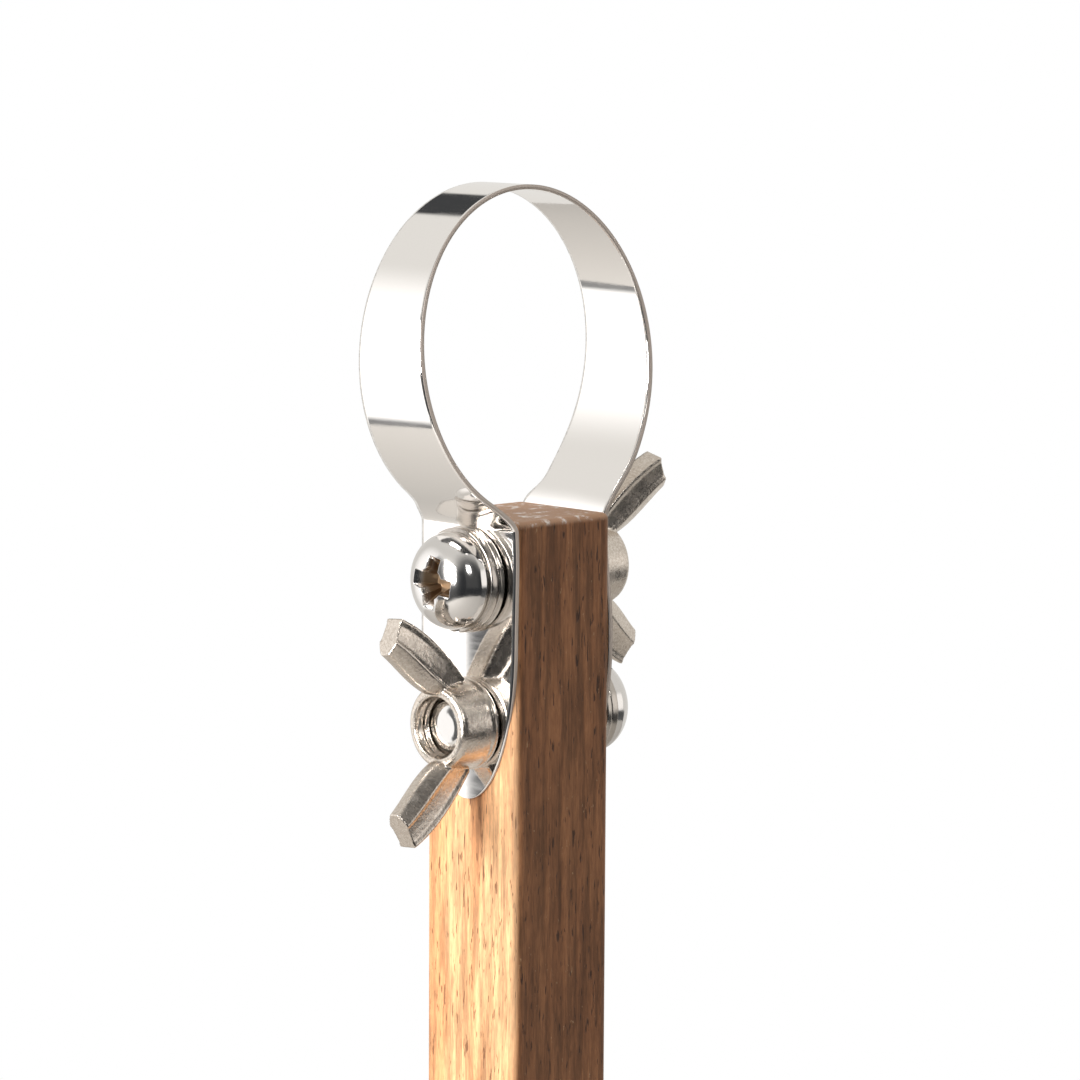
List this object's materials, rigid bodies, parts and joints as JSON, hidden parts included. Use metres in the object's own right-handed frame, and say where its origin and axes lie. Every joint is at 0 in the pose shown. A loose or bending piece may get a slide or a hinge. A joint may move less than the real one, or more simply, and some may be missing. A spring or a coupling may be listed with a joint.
{
  "type": "clay modeling loop tool",
  "caption": "Square wooden handle with a bent steel strip loop held between washers, cross-head screws and wing nuts, for trimming and hollowing clay.",
  "frame": {"origin": "centre of the handle's flat bottom end", "axes": "+Z along the handle towards the loop, X from tab to tab across the loop, Y across the strip"},
  "size_m": [0.0374, 0.0141, 0.2146],
  "materials": {
    "teak": "sanded, thinly oiled",
    "polished_strip": "polished stainless strip",
    "screw_steel": "polished stainless",
    "washer_steel": "tumbled stainless",
    "cast_nut": "cold formed, tumbled stainless"
  },
  "bodies": {
    "tool_body": {"handle": "teak", "loop_blade": "polished_strip"},
    "upper_nut": {"upper_wing_nut": "cast_nut"},
    "upper_washers": {"upper_spring_washer": "washer_steel", "upper_flat_washer": "washer_steel"},
    "upper_screw": {"upper_screw": "screw_steel"},
    "lower_nut": {"lower_wing_nut": "cast_nut"},
    "lower_washers": {"lower_spring_washer": "washer_steel", "lower_flat_washer": "washer_steel"},
    "lower_screw": {"lower_screw": "screw_steel"}
  },
  "joints": [
    {"name": "upper_nut_turn", "type": "hinge", "parent": "tool_body", "child": "upper_nut", "pos_m": [0.0075, -0.00035, 0.1736], "axis": [1, 0, 0], "range_deg": [0, 900]},
    {"name": "upper_screw_draw", "type": "slide", "parent": "tool_body", "child": "upper_washers", "axis": [-1, 0, 0], "range_m": [0, 0.0025]},
    {"name": "upper_screw_spin", "type": "hinge", "parent": "upper_washers", "child": "upper_screw", "pos_m": [-0.0075, -0.00035, 0.1736], "axis": [-1, 0, 0], "continuous": true},
    {"name": "lower_nut_turn", "type": "hinge", "parent": "tool_body", "child": "lower_nut", "pos_m": [-0.0075, -0.00035, 0.1583], "axis": [-1, 0, 0], "range_deg": [0, 900]},
    {"name": "lower_screw_draw", "type": "slide", "parent": "tool_body", "child": "lower_washers", "axis": [1, 0, 0], "range_m": [0, 0.0025]},
    {"name": "lower_screw_spin", "type": "hinge", "parent": "lower_washers", "child": "lower_screw", "pos_m": [0.0075, -0.00035, 0.1583], "axis": [1, 0, 0], "continuous": true}
  ],
  "couplings": [
    {"joint": "upper_screw_draw", "follows": "upper_nut_turn", "m_per_rad": 0.00015915},
    {"joint": "lower_screw_draw", "follows": "lower_nut_turn", "m_per_rad": 0.00015915}
  ]
}
